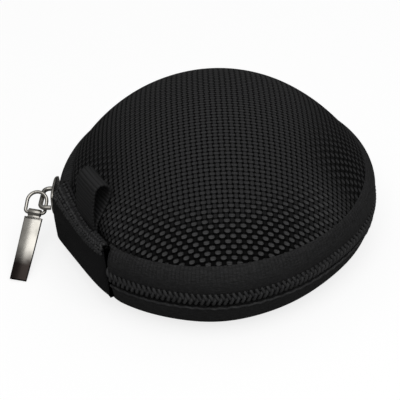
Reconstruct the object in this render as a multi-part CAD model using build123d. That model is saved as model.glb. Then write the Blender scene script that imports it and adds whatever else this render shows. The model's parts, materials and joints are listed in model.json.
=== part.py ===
from build123d import *
import math
import os

# Round clamshell carrying case for earphones: a domed lid and a shallow base of moulded
# foam covered in ballistic nylon, a coil zip round the side, a webbing hinge at the back
# with a ribbon hang loop, and one slider with a ring pull.
# Millimetres. +Z is up, the hinge is at the back (+Y), and the origin is the centre of
# the underside, on the surface that the case rests on.

# Driving dimensions
belt_radius = 40.0        # the widest part, at the zip
seam_radius = 37.8        # where lid and base meet their zip tapes
total_height = 43.0
chain_z = 12.0            # mid-line of the zip
seam_rise = 7.7           # from the zip's mid-line to each seam
hinge_flat_y = 35.5       # the seams are pulled flat here, at the back
slider_flat = 36.3         # the lid is drawn in beside the slider, to a second flat
slider_flat_angle = 62.0
floor_radius = 31.0       # flat part of the underside

# Moulded shells, from outside in
cover_thickness = 0.7
foam_thickness = 2.1
lining_thickness = 0.5
layer_gap = 0.02
crown_radius = 40.5       # middle of the dome
flank_radius = 58.3       # flatter side of the dome
crown_angle = 42.0        # where the crown meets the side

# Zip
tape_thickness = 0.6
coil_height = 1.75
coil_inner_rise = 0.6     # from the mid-line to the coil
slider_angle = 57.5       # where the slider stands when the case is shut
slider_reach = 11.5       # half the angle, seen from the axis, that the slider needs
tape_end_angle = 68.5     # the tapes stop at the webbing here, on the far side
tape_start_angle = 66.0   # and here, on the slider's side
plate_inner_x = 36.0
plate_outer_x = 41.4
plate_thickness = 1.0
bail_rod = 1.2
bail_x = 45.25            # centre line of the bail's bar, from the case's axis
bail_half_length = 4.1
ring_wire = 0.9
ring_radius = 2.55
ring_bar_x = 3.1          # from the ring's centre to its straight bar
eye_radius = 0.95
eye_width = 3.3
ring_offset_y = 1.3       # the ring hangs towards the hinge side of the bail
pull_droop = 34.75        # degrees below level
pull_lean = 8.0           # degrees outward
tab_length = 20.2         # from the ring's centre to the tab's end
tab_width = 4.8
tab_end_width = 4.4
tab_thickness = 0.75

# Hinge and loop
webbing_half_width = 14.0
webbing_shift = 1.4        # towards the slider
webbing_thickness = 1.0
strip_width = 22.2         # the thin strip inside the hinge
webbing_y = 38.2
ribbon_thickness = 0.55
ribbon_width = 9.6
loop_shift = -1.5          # away from the slider
loop_crest = (33.85, 29.75)
loop_crest_radius = 2.2
loop_foot = (36.85, 22.8)

# Mesh pocket in the lid, over the half next to the hinge
pocket_radius = 32.8
pocket_edge_y = -4.0
pocket_rise = 0.9         # above the lid's seam
elastic_width = 3.0

lid_seam_z = chain_z + seam_rise
pocket_z = lid_seam_z + pocket_rise
base_seam_z = chain_z - seam_rise - 0.1
foam_inset = cover_thickness + layer_gap
lining_inset = foam_inset + foam_thickness + layer_gap
inside_inset = lining_inset + lining_thickness
far = 100.0


def polar(centre, radius, degrees):
    """A point on a circle, with the angle measured from straight up."""
    angle = math.radians(degrees)
    return (centre[0] + radius * math.sin(angle), centre[1] + radius * math.cos(angle))


def spin(section):
    """A body of revolution from a section in radius and height."""
    return revolve(Plane.XZ * section, Axis.Z, 360)


def spin_part(section, start, end):
    """The part of a body of revolution between two angles."""
    return Rot(0, 0, start) * revolve(Plane.XZ * section, Axis.Z, end - start)


def in_front_of(y):
    """A block that holds everything on the -Y side of a plane."""
    return Pos(0, y - far, 0) * Box(2 * far, 2 * far, 2 * far)


def lid_form(inset):
    """The dome, solid, with every surface moved in by the inset."""
    crown_centre = (0, total_height - crown_radius)
    meeting = polar(crown_centre, crown_radius, crown_angle)
    flank_centre = polar(meeting, -flank_radius, crown_angle)
    r1 = crown_radius - inset
    r2 = flank_radius - inset
    end_angle = math.degrees(math.acos((lid_seam_z - flank_centre[1]) / r2))
    top = polar(crown_centre, r1, 0)
    joint = polar(crown_centre, r1, crown_angle)
    rim = polar(flank_centre, r2, end_angle)
    outline = Line((0, lid_seam_z), top)
    outline += ThreePointArc(top, polar(crown_centre, r1, crown_angle / 2), joint)
    outline += ThreePointArc(joint, polar(flank_centre, r2, (crown_angle + end_angle) / 2), rim)
    outline += Line(rim, (0, lid_seam_z))
    drawn_in = Rot(0, 0, slider_flat_angle - 90) * in_front_of(slider_flat - inset)
    return spin(make_face(outline)) & in_front_of(hinge_flat_y - inset) & drawn_in


def base_form(inset):
    """The shallow base, solid, with every surface moved in by the inset."""
    reach = seam_radius - floor_radius
    side_radius = (reach ** 2 + base_seam_z ** 2) / (2 * base_seam_z)
    centre = (floor_radius, side_radius)
    r = side_radius - inset
    end_angle = math.degrees(math.acos((side_radius - base_seam_z) / r))
    heel = polar(centre, r, 180)
    rim = polar(centre, r, 180 - end_angle)
    outline = Line((0, base_seam_z), (0, inset))
    outline += Line((0, inset), heel)
    outline += ThreePointArc(heel, polar(centre, r, 180 - end_angle / 2), rim)
    outline += Line(rim, (0, base_seam_z))
    return spin(make_face(outline)) & in_front_of(hinge_flat_y - inset)


def tape_section(side):
    """Zip tape: flat behind the coil, a bulging band, and a turned-in seam allowance."""
    def at(r, rise):
        return (r, chain_z + side * rise)
    back = belt_radius - 2.0
    outline = Line(at(back, 1.0), at(back + tape_thickness, 1.0))
    outline += Line(at(back + tape_thickness, 1.0), at(back + tape_thickness, 2.55))
    outline += Line(at(back + tape_thickness, 2.55), at(40.0, 2.55))
    outline += ThreePointArc(at(40.0, 2.55), at(40.05, 5.0), at(38.45, 7.55))
    outline += Line(at(38.45, 7.55), at(35.4, 7.55))
    outline += Line(at(35.4, 7.55), at(35.4, 7.05))
    outline += Line(at(35.4, 7.05), at(37.6, 7.05))
    outline += ThreePointArc(at(37.6, 7.05), at(38.85, 4.9), at(back, 2.55))
    outline += Line(at(back, 2.55), at(back, 1.0))
    return make_face(outline)


def coil_section(side):
    """The bead that one side's coil fills, in front of its tape."""
    middle = chain_z + side * (coil_inner_rise + coil_height / 2)
    bead = Rectangle(1.25, coil_height)
    return Pos(belt_radius - 0.55, middle) * chamfer(bead.vertices(), 0.4)


def round_the_front(section):
    """The rigid stretch of a lid part, clear of the slider's two resting places."""
    near = slider_angle - slider_reach
    return spin_part(section, -180 - near, near)


def beside_the_hinge(section):
    """The two short stretches next to the webbing, which bend as the lid opens."""
    near = slider_angle - slider_reach
    right = spin_part(section, near, tape_start_angle)
    left = spin_part(section, 180 - tape_end_angle, 180 - near)
    return right + left


def binding_section(side):
    """Inner binding tape that covers the seam allowances."""
    middle = chain_z + side * 6.2
    return Pos(35.5, middle) * RectangleRounded(2.4, 1.5, 0.5)


def hinge_webbing():
    """Folded webbing that carries the lid, bulging outside both seams."""
    height = 2 * seam_rise - 0.5
    depth = webbing_y - 36.0
    outer = Rectangle(depth, height)
    corners = outer.vertices().sort_by(Axis.X)[-2:]
    outer = fillet(corners, 2.1)
    t = webbing_thickness
    inner = Rectangle(depth, height - 2 * t)
    inner_corners = inner.vertices().sort_by(Axis.X)[-2:]
    inner = Pos(-t, 0) * fillet(inner_corners, 1.1)
    section = Pos(36.0 + depth / 2, chain_z) * (outer - inner)
    return extrude(Plane.YZ.offset(webbing_shift) * section, webbing_half_width, both=True)


def hinge_lining():
    """Thin strip inside the hinge that closes the gap between the two linings."""
    height = 2 * seam_rise - 1.2
    return Pos(0, 35.45, chain_z) * Box(strip_width, 0.5, height)


def hang_loop():
    """Ribbon folded to a teardrop and sewn into the lid seam, leaning on the dome."""
    t = ribbon_thickness
    crest = Pos(*loop_crest) * Circle(loop_crest_radius)
    foot = Pos(*loop_foot) * Circle(t)
    outer = make_hull(crest.edges() + foot.edges())
    crest_in = Pos(*loop_crest) * Circle(loop_crest_radius - t)
    foot_in = Pos(loop_foot[0], loop_foot[1] + 0.6) * Circle(0.06)
    inner = make_hull(crest_in.edges() + foot_in.edges())
    stem_low = lid_seam_z + 0.1
    stem_height = loop_foot[1] - stem_low
    stem = Pos(loop_foot[0], stem_low + stem_height / 2) * Rectangle(2 * t, stem_height)
    section = outer + stem - inner
    return extrude(Plane.YZ.offset(loop_shift) * section, ribbon_width / 2, both=True)


def lid_pocket():
    """Mesh sheet over the hinge side of the lid's hollow."""
    disc = Cylinder(pocket_radius, 0.4)
    mesh = disc & (Pos(0, far + pocket_edge_y, 0) * Box(2 * far, 2 * far, 2 * far))
    mesh = mesh & in_front_of(hinge_flat_y - inside_inset - 0.3)
    return Pos(0, 0, pocket_z) * mesh


def pocket_elastic():
    """Elastic edge of the mesh pocket."""
    middle_y = pocket_edge_y - 0.05 - elastic_width / 2
    half = math.sqrt(pocket_radius ** 2 - (middle_y - elastic_width / 2) ** 2)
    strip = Box(2 * half, elastic_width, 1.0)
    strip = fillet(strip.edges().filter_by(Axis.Z), 1.0)
    return Pos(0, middle_y, pocket_z) * strip


def plate_section():
    """Shield-shaped plan of the slider, wide where the two open chains come in."""
    plan = Polygon((-6.0, -2.4), (-3.2, -3.7), (2.6, -4.3), (6.0, -3.1),
                   (6.0, 3.1), (2.6, 4.3), (-3.2, 3.7), (-6.0, 2.4), align=None)
    return fillet(plan.vertices(), 1.0)


def slider_body():
    """Two plates joined by a thin post between the chains."""
    plan = plate_section()
    front = extrude(Plane.YZ.offset(plate_outer_x) * plan, plate_thickness)
    front = fillet(front.faces().sort_by(Axis.X)[-1].edges(), 0.35)
    rear = extrude(Plane.YZ.offset(plate_inner_x) * plan, plate_thickness)
    rear_x = plate_inner_x + plate_thickness
    depth = plate_outer_x - rear_x
    post = Pos(rear_x + depth / 2, 3.9, 0) * Box(depth + 0.4, 2.6, 0.7)
    return front + rear + post


def slider_bail():
    """Arched rod on the slider that holds the ring."""
    base_x = plate_outer_x + plate_thickness
    b = bail_half_length
    path = FilletPolyline((base_x, -b, 0), (bail_x, -b, 0), (bail_x, b, 0), (base_x, b, 0),
                          radius=1.5)
    start = Plane(origin=path @ 0, z_dir=path % 0)
    return sweep(start * Circle(bail_rod / 2), path=path)


def pull_plane():
    """The plane of ring and tab: X along the tab, Z out of its face."""
    droop = math.radians(pull_droop)
    lean = math.radians(pull_lean)
    down = Vector(0, math.cos(droop), -math.sin(droop))
    along = down * math.cos(lean) + Vector(1, 0, 0) * math.sin(lean)
    face = Vector(0, math.sin(droop), math.cos(droop))
    ring_x = bail_x - bail_rod / 2 - 0.35 - ring_wire / 2 + ring_radius
    return Plane(origin=(ring_x, ring_offset_y, 0), x_dir=along, z_dir=face)


def pull_ring():
    """Wire ring with one straight bar, which the tab's eye turns on."""
    r = ring_radius
    c = 0.8
    x = ring_bar_x
    s = c * (1 - math.sqrt(0.5))
    path = ThreePointArc((0, r), (-r, 0), (0, -r))
    path += Line((0, -r), (x - c, -r))
    path += ThreePointArc((x - c, -r), (x - s, -r + s), (x, -r + c))
    path += Line((x, -r + c), (x, r - c))
    path += ThreePointArc((x, r - c), (x - s, r - s), (x - c, r))
    path += Line((x - c, r), (0, r))
    section = Plane(origin=(0, r, 0), z_dir=(-1, 0, 0)) * Circle(ring_wire / 2)
    return sweep(section, path=path.wire())


def pull_tab():
    """Flat tab with a rolled eye."""
    hole = ring_wire / 2 + 0.12
    eye = Rot(90, 0, 0) * (Cylinder(eye_radius, eye_width) - Cylinder(hole, 2 * eye_width))
    eye = Pos(ring_bar_x, 0, 0) * eye
    start = ring_bar_x + 0.7
    a = tab_width / 2
    b = tab_end_width / 2
    shoulder = start + 0.7
    plan = Polygon((shoulder, -a), (tab_length, -b), (tab_length, b), (shoulder, a), align=None)
    plan = fillet(plan.vertices(), 0.4)
    neck = Pos(start + 0.5, 0) * Rectangle(1.0, eye_width)
    strip = extrude(plan + neck, tab_thickness / 2, both=True)
    return eye + strip


def at_slider(piece):
    """Carry a piece from the slider's own frame (X outward) to its place on the case."""
    return Pos(0, 0, chain_z) * Rot(0, 0, slider_angle) * piece


def make_parts():
    parts = {}
    parts["lid_cover"] = lid_form(0) - lid_form(cover_thickness)
    parts["lid_foam_shell"] = lid_form(foam_inset) - lid_form(foam_inset + foam_thickness)
    parts["lid_lining"] = lid_form(lining_inset) - lid_form(inside_inset)
    parts["lid_zip_tape"] = round_the_front(tape_section(1))
    parts["lid_zip_tape_ends"] = beside_the_hinge(tape_section(1))
    parts["lid_coil"] = round_the_front(coil_section(1))
    parts["lid_coil_ends"] = beside_the_hinge(coil_section(1))
    parts["lid_binding"] = spin(binding_section(1)) & in_front_of(35.1)
    parts["lid_pocket_mesh"] = lid_pocket()
    parts["pocket_elastic"] = pocket_elastic()
    parts["hang_loop"] = hang_loop()
    parts["base_cover"] = base_form(0) - base_form(cover_thickness)
    parts["base_foam_shell"] = base_form(foam_inset) - base_form(foam_inset + foam_thickness)
    parts["base_lining"] = base_form(lining_inset) - base_form(inside_inset)
    zip_span = (-180 - tape_end_angle, tape_start_angle)
    parts["base_zip_tape"] = spin_part(tape_section(-1), *zip_span)
    parts["base_coil"] = spin_part(coil_section(-1), *zip_span)
    parts["base_binding"] = spin(binding_section(-1)) & in_front_of(35.1)
    parts["hinge_webbing"] = hinge_webbing()
    parts["hinge_lining"] = hinge_lining()
    parts["slider_body"] = at_slider(slider_body())
    parts["slider_bail"] = at_slider(slider_bail())
    parts["pull_ring"] = at_slider(pull_plane() * pull_ring())
    parts["pull_tab"] = at_slider(pull_plane() * pull_tab())
    return parts


def main():
    os.makedirs("parts", exist_ok=True)
    for name, piece in make_parts().items():
        export_step(piece, "parts/" + name + ".step")


main()
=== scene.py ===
import json
import math
import random

import bmesh
import bpy
from mathutils import Matrix, Vector


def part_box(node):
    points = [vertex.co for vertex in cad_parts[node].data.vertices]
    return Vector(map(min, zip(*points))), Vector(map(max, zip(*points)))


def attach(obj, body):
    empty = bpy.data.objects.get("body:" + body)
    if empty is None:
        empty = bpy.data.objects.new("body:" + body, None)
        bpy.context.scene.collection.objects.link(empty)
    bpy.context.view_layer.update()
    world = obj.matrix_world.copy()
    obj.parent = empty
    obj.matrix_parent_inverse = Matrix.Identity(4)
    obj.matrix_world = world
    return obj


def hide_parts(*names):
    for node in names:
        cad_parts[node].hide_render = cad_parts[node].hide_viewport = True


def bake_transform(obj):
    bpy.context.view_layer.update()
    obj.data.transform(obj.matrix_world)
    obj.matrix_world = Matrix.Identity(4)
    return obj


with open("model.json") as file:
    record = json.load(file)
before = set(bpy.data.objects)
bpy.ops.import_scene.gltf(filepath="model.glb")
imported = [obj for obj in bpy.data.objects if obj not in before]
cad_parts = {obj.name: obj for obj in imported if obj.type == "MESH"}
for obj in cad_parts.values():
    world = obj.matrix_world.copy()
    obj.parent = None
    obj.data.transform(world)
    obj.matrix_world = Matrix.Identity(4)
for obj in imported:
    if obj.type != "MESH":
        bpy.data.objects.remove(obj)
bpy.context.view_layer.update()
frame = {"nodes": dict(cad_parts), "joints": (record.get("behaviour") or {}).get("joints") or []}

# A round zipped earphone case. Metres, in the frame's own axes: +Z up, the hinge at +Y.

mm = 0.001
turn = 2 * math.pi
random.seed(7)

# ---------------------------------------------------------------- sizes, from the frame

cover_low, cover_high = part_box("lid_cover")
base_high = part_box("base_cover")[1]
webbing_low, webbing_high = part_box("hinge_webbing")
loop_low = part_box("hang_loop")[0]
mesh_low, mesh_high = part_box("lid_pocket_mesh")
elastic_low, elastic_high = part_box("pocket_elastic")
joint = {j["name"]: j for j in frame["joints"]}

seam_radius = cover_high.x
hinge_flat = cover_high.y
chain_z = joint["zip_slide"]["pos_m"][2]
lid_seam_z = cover_low.z
base_seam_z = base_high.z
dome_top = cover_high.z
tab_eye = Vector(joint["tab_swing"]["pos_m"])

# ---------------------------------------------------------------- driving dimensions

belt_radius = 40.0 * mm
floor_radius = 31.0 * mm
crown_radius = 40.5 * mm
flank_radius = 58.3 * mm
crown_angle = math.radians(42.0)
shell_depth = 3.36 * mm                     # cover, foam and lining together
slider_flat = 36.3 * mm                     # the lid is drawn in beside the slider
slider_flat_angle = math.radians(62.0)
lean_side = Vector((0.46, 0.89, 0))         # the base sits a little towards the hinge
base_lean = 0.75 * mm
grain_angle = math.radians(242.5)           # the direction of the cover's cross yarns
zip_start = math.radians(67.6)              # both tapes run under the webbing at these two angles
zip_finish = math.radians(108.4) - turn
tape_tuck = 2.2 * mm                        # how far a tape's ends are drawn in
ridge_radius = 39.9 * mm                    # the lower tape's folded edge
ridge_drop = 3.0 * mm
coil_pitch = 1.35 * mm
coil_wire = 0.42 * mm
core_wire = 0.42 * mm
webbing_half = (webbing_high.x - webbing_low.x) / 2
webbing_centre = (webbing_high.x + webbing_low.x) / 2
strip_half = 12.4 * mm                      # the thin strip inside the hinge
ribbon_width = 9.0 * mm
ribbon_depth = 0.55 * mm
net_cell = 1.5 * mm
net_yarn_width = 0.28 * mm
slider_angle = math.radians(57.5)
pull_droop = math.radians(34.75)
pull_lean = math.radians(10.5)
tab_length = 17.6                           # mm, from the eye
tab_thickness = 0.75
tab_bend = 0.008                            # per mm beyond tab_straight: the tip lifts
tab_straight = 7.0


# ---------------------------------------------------------------- mesh tools

def new_object(name, mesh):
    """A mesh placed in the scene as a piece."""
    piece = bpy.data.objects.new(name, mesh)
    bpy.context.scene.collection.objects.link(piece)
    return piece


def build(name, points, faces, material, layout=None):
    """A mesh piece. layout gives each point's place on the flat cloth, in metres."""
    mesh = bpy.data.meshes.new(name)
    mesh.from_pydata([tuple(p) for p in points], [], faces)
    mesh.update()
    if layout is not None:
        layer = mesh.uv_layers.new(name="cut")
        for loop in mesh.loops:
            layer.data[loop.index].uv = layout[loop.vertex_index]
    mesh.shade_smooth()
    mesh.materials.append(material)
    return new_object(name, mesh)


def rows_to_faces(rows, across, close_rows=False, close_across=False):
    """Quads between points laid out in rows."""
    faces = []
    last_row = rows if close_rows else rows - 1
    last = across if close_across else across - 1
    for i in range(last_row):
        for j in range(last):
            a = i * across + j
            b = i * across + (j + 1) % across
            c = ((i + 1) % rows) * across + (j + 1) % across
            d = ((i + 1) % rows) * across + j
            faces.append((a, b, c, d))
    return faces


def end_faces(rows, across):
    """Faces that close the first and last row."""
    return [tuple(range(across)), tuple(range((rows - 1) * across, rows * across))[::-1]]


def curve_through(points, steps):
    """Points on a smooth line through the given ones."""
    out = []
    n = len(points)
    for i in range(n - 1):
        p0 = points[max(i - 1, 0)]
        p1 = points[i]
        p2 = points[i + 1]
        p3 = points[min(i + 2, n - 1)]
        for k in range(steps):
            t = k / steps
            row = []
            for a, b, c, d in zip(p0, p1, p2, p3):
                slope = (c - a) * t + (2 * a - 5 * b + 4 * c - d) * t * t
                row.append(b + 0.5 * (slope + (3 * b - a - 3 * c + d) * t ** 3))
            out.append(tuple(row))
    out.append(tuple(points[-1]))
    return out


def soft_min(a, b, width):
    """The smaller of two lengths, with the corner between them rounded."""
    h = max(width - abs(a - b), 0) / width
    return min(a, b) - h * h * width / 4


def hump(degrees, middle, spread):
    """A smooth rise round one angle."""
    return math.exp(-((degrees - middle) / spread) ** 2)


def swell(angle, radius, low=0.0):
    """How far lid, belt and base stand out of their circle: most behind the slider."""
    degrees = math.degrees(angle) % 360
    if degrees > 270:
        degrees -= 360
    rim = max(0.0, min(1.0, (radius / seam_radius - 0.5) / 0.5)) ** 1.6
    belt = max(0.0, min(1.0, (radius - seam_radius) / (2.2 * mm)))
    belt = max(belt, low * (radius / seam_radius) ** 4)
    back = 1.4 * hump(degrees, 15, 24)
    front = 0.65 * hump(degrees, 152, 15)
    shoulder = 0.85 * hump(degrees, 197, 19)
    return (back * rim + (front - shoulder) * belt) * mm


def around(radius, height, angle, rounding=0.9 * mm, swollen=True, low=0.0):
    """A point on the case at that angle, with its two flats drawn in."""
    beyond = max(radius - seam_radius, 0)
    reach = radius + swell(angle, radius, low) if swollen else radius
    s = math.sin(angle)
    if s > 0.3:
        reach = soft_min(reach, (hinge_flat + beyond) / s, rounding)
    toward = math.cos(angle - slider_flat_angle)
    if toward > 0.7:
        reach = soft_min(reach, (slider_flat + 1.75 * beyond) / toward, rounding)
    return Vector((reach * math.cos(angle), reach * math.sin(angle), height))


def lengths(points):
    """Running length along a line of points."""
    out = [0.0]
    for a, b in zip(points, points[1:]):
        out.append(out[-1] + (Vector(b) - Vector(a)).length)
    return out


def band(name, section, start, end, stations, material, tuck=0.0, lean=0.0):
    """A section (radius, height) carried round the case, its ends tucked in."""
    points = []
    layout = []
    run = lengths([(r, z, 0) for r, z in section])
    for i in range(stations + 1):
        angle = start + (end - start) * i / stations
        left = min(i, stations - i) / stations * abs(end - start) * belt_radius
        inward = tuck * max(0.0, 1 - left / (1.5 * mm)) ** 2
        for (r, z), v in zip(section, run):
            drawn = max(r - inward, min(r, 38.3 * mm))
            low = max(0.0, (chain_z - 3 * mm - z) / (6 * mm))
            point = around(drawn, z, angle, low=min(1.0, low))
            points.append(point + lean_side * low * lean)
            layout.append((angle * belt_radius, v))
    faces = rows_to_faces(stations + 1, len(section), close_across=True)
    faces += end_faces(stations + 1, len(section))
    return build(name, points, faces, material, layout)


def tube(path, radius, sides=8, squash=1.0, up=Vector((0, 0, 1))):
    """Points and faces of a round or flattened rod along a path."""
    points = []
    n = len(path)
    for i, p in enumerate(path):
        before = path[max(i - 1, 0)]
        after = path[min(i + 1, n - 1)]
        along = (Vector(after) - Vector(before)).normalized()
        side = along.cross(up)
        side = side.normalized() if side.length > 1e-6 else Vector((1, 0, 0))
        over = side.cross(along)
        for k in range(sides):
            a = turn * k / sides
            points.append(Vector(p) + side * math.cos(a) * radius
                          + over * math.sin(a) * radius * squash)
    faces = rows_to_faces(n, sides, close_across=True)
    faces += [end[::-1] for end in end_faces(n, sides)]
    return points, faces


def rods(name, paths, radius, material, sides=6, up=Vector((0, 0, 1))):
    """Many rods as one piece."""
    points = []
    faces = []
    for path in paths:
        more, quads = tube(path, radius, sides, up=up)
        faces += [tuple(i + len(points) for i in q) for q in quads]
        points += more
    return build(name, points, faces, material)


def thicken(piece, depth):
    """Give a sheet its thickness, half to each side."""
    step = piece.modifiers.new("thickness", "SOLIDIFY")
    step.thickness = depth
    step.offset = 0.0
    bpy.context.view_layer.update()
    ready = piece.evaluated_get(bpy.context.evaluated_depsgraph_get())
    mesh = bpy.data.meshes.new_from_object(ready)
    piece.modifiers.clear()
    piece.data = mesh


# ---------------------------------------------------------------- shader tools

class Nodes:
    """Short words for wiring a node tree."""

    def __init__(self, tree):
        self.tree = tree

    def add(self, kind, **values):
        node = self.tree.nodes.new(kind)
        for key, value in values.items():
            setattr(node, key, value)
        return node

    def put(self, socket, value):
        if isinstance(value, bpy.types.NodeSocket):
            self.tree.links.new(value, socket)
        else:
            socket.default_value = value

    def math(self, word, a, b=0.0, c=0.0):
        node = self.add("ShaderNodeMath", operation=word)
        for socket, value in zip(node.inputs, (a, b, c)):
            self.put(socket, value)
        return node.outputs[0]

    def mix(self, factor, a, b):
        node = self.add("ShaderNodeMix", data_type="RGBA")
        self.put(node.inputs[0], factor)
        self.put(node.inputs[6], a)
        self.put(node.inputs[7], b)
        return node.outputs[2]

    def blend(self, factor, a, b):
        node = self.add("ShaderNodeMix", data_type="FLOAT")
        self.put(node.inputs[0], factor)
        self.put(node.inputs[2], a)
        self.put(node.inputs[3], b)
        return node.outputs[0]

    def ramp(self, value, low, high, out_low=0.0, out_high=1.0):
        node = self.add("ShaderNodeMapRange", interpolation_type="SMOOTHSTEP")
        for socket, number in zip(node.inputs, (value, low, high, out_low, out_high)):
            self.put(socket, number)
        return node.outputs[0]

    def noise(self, place, scale, detail=2.0, roughness=0.5):
        node = self.add("ShaderNodeTexNoise")
        self.put(node.inputs["Vector"], place)
        node.inputs["Scale"].default_value = scale
        node.inputs["Detail"].default_value = detail
        node.inputs["Roughness"].default_value = roughness
        return node.outputs["Fac"]

    def split(self, place):
        node = self.add("ShaderNodeSeparateXYZ")
        self.put(node.inputs[0], place)
        return node.outputs

    def cut_place(self):
        """Place on the flat cloth, in metres."""
        return self.add("ShaderNodeUVMap", uv_map="cut").outputs[0]

    def solid_place(self):
        """Place in the piece, in metres."""
        return self.add("ShaderNodeTexCoord").outputs["Object"]


def new_group(name, numbers, outputs):
    """An empty node group with its named inputs and outputs."""
    group = bpy.data.node_groups.new(name, "ShaderNodeTree")
    group.interface.new_socket("Place", in_out="INPUT", socket_type="NodeSocketVector")
    for label, value in numbers.items():
        socket = group.interface.new_socket(label, in_out="INPUT", socket_type="NodeSocketFloat")
        socket.default_value = value
    for label, kind in outputs.items():
        group.interface.new_socket(label, in_out="OUTPUT", socket_type="NodeSocket" + kind)
    n = Nodes(group)
    return n, n.add("NodeGroupInput").outputs, n.add("NodeGroupOutput").inputs


def place_group(n, group, place, **numbers):
    """A node group set into a material, with this material's own values."""
    node = n.add("ShaderNodeGroup", node_tree=group)
    n.put(node.inputs[0], place)
    for key, value in numbers.items():
        n.put(node.inputs[key.replace("_", " ")], value)
    return node.outputs


def plain_weave_group():
    """Over-and-under weave of two sets of doubled yarns. A tight set sinks between the slack ones."""
    n, given, result = new_group(
        "Plain weave", {"Pitch across": 0.00134, "Pitch along": 0.00094, "Wobble": 0.12,
                        "Tight across": 0.0, "Tight along": 0.0},
        {"Height": "Float", "Cross float": "Float", "Gap": "Float"})
    float_reach = 0.66          # half a float's length, in cells
    float_slimness = 1.1        # over 1, the yarns leave a gap between them
    parting_depth = 0.16        # the groove between a doubled yarn's two ends
    sinking = 0.4               # how far a tight yarn sinks
    x, y, _ = n.split(given["Place"])
    drift = n.math("SUBTRACT", n.noise(given["Place"], 260.0, 1.0), 0.5)
    drift = n.math("MULTIPLY", drift, given["Wobble"])
    u = n.math("ADD", n.math("DIVIDE", x, given["Pitch across"]), drift)
    v = n.math("SUBTRACT", n.math("DIVIDE", y, given["Pitch along"]), drift)
    column = n.math("FLOOR", u)
    row = n.math("FLOOR", v)

    def from_middle(value, cell):
        return n.math("MULTIPLY", n.math("SUBTRACT", n.math("SUBTRACT", value, cell), 0.5), 2.0)

    def float_height(over, cell_across, beside, tight, flip):
        """How high one yarn stands: an oval float, doubled, lower where the yarn is tight."""
        phase = n.math("ADD", n.math("SUBTRACT", over, 0.5 + flip), cell_across)
        wave = n.math("COSINE", n.math("MULTIPLY", phase, math.pi))
        from_top = n.math("DIVIDE", n.math("ARCCOSINE", wave), math.pi)
        long = n.math("DIVIDE", from_top, n.math("MULTIPLY_ADD", tight, -0.1, float_reach))
        wide = n.math("MULTIPLY", beside, float_slimness)
        oval = n.math("ADD", n.math("MULTIPLY", long, long), n.math("MULTIPLY", wide, wide))
        crown = n.math("SQRT", n.math("MAXIMUM", n.math("SUBTRACT", 1.0, oval), 0.0))
        middle = n.ramp(n.math("ABSOLUTE", beside), 0.0, 0.3, 1.0, 0.0)
        parting = n.math("MULTIPLY", middle, parting_depth)
        crown = n.math("MAXIMUM", n.math("SUBTRACT", crown, parting), 0.0)
        return n.math("MULTIPLY", crown, n.math("MULTIPLY_ADD", tight, -sinking, 1.0))

    along_height = float_height(v, column, from_middle(u, column), given["Tight along"], 0.0)
    across_height = float_height(u, row, from_middle(v, row), given["Tight across"], 1.0)
    height = n.math("MAXIMUM", along_height, across_height)
    n.put(result["Height"], height)
    n.put(result["Cross float"], n.ramp(n.math("SUBTRACT", across_height, along_height), -0.05, 0.1))
    # Gap marks the low places between the yarns; the cloths darken them there as painted shade.
    n.put(result["Gap"], n.ramp(height, 0.12, 0.78, 1.0, 0.0))
    return bpy.data.node_groups["Plain weave"]


def fibre_group():
    """Fine filaments and patchy wear, the same on every cloth."""
    n, given, result = new_group(
        "Fibres", {"Fineness": 2600.0, "Patches": 90.0},
        {"Fuzz": "Float", "Patch": "Float"})
    place = given["Place"]
    node = n.add("ShaderNodeTexNoise")
    n.put(node.inputs["Vector"], place)
    n.put(node.inputs["Scale"], given["Fineness"])
    node.inputs["Detail"].default_value = 3.0
    n.put(result["Fuzz"], node.outputs["Fac"])
    other = n.add("ShaderNodeTexNoise")
    n.put(other.inputs["Vector"], place)
    n.put(other.inputs["Scale"], given["Patches"])
    other.inputs["Detail"].default_value = 4.0
    n.put(result["Patch"], n.ramp(other.outputs["Fac"], 0.35, 0.7))
    return bpy.data.node_groups["Fibres"]


def rib_group():
    """Round ribs side by side, with a finer cross yarn over them."""
    n, given, result = new_group(
        "Ribs", {"Pitch": 0.001, "Cross pitch": 0.0005, "Cross depth": 0.3},
        {"Height": "Float", "Valley": "Float"})
    place = given["Place"]
    x, y, _ = n.split(place)
    drift = n.math("MULTIPLY", n.math("SUBTRACT", n.noise(place, 400.0, 1.0), 0.5), 0.25)
    rib = n.math("ABSOLUTE", n.math("SINE", n.math("MULTIPLY", n.math(
        "ADD", n.math("DIVIDE", x, given["Pitch"]), drift), math.pi)))
    cell = n.math("FLOOR", n.math("DIVIDE", x, given["Pitch"]))
    phase = n.math("ADD", n.math("DIVIDE", y, given["Cross pitch"]), n.math("MULTIPLY", cell, 0.5))
    cross = n.math("ABSOLUTE", n.math("SINE", n.math("MULTIPLY", phase, math.pi)))
    depth = given["Cross depth"]
    height = n.math("MULTIPLY", rib, n.math(
        "MULTIPLY_ADD", cross, depth, n.math("SUBTRACT", 1.0, depth)))
    n.put(result["Height"], height)
    # Valley marks the low places between the ribs; the cloths darken them there as painted shade.
    n.put(result["Valley"], n.ramp(height, 0.05, 0.55, 1.0, 0.0))
    return bpy.data.node_groups["Ribs"]


def twill_group():
    """Fine diagonal lines of a twill."""
    n, given, result = new_group(
        "Twill", {"Pitch": 0.0006, "Slant": 0.8}, {"Height": "Float"})
    place = given["Place"]
    x, y, _ = n.split(place)
    drift = n.math("MULTIPLY", n.math("SUBTRACT", n.noise(place, 500.0, 2.0), 0.5), 0.6)
    slant = n.math("DIVIDE", n.math("MULTIPLY_ADD", y, given["Slant"], x), given["Pitch"])
    wave = n.math("SINE", n.math("MULTIPLY", n.math("ADD", slant, drift), turn))
    n.put(result["Height"], n.math("MULTIPLY_ADD", wave, 0.5, 0.5))
    return bpy.data.node_groups["Twill"]


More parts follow.
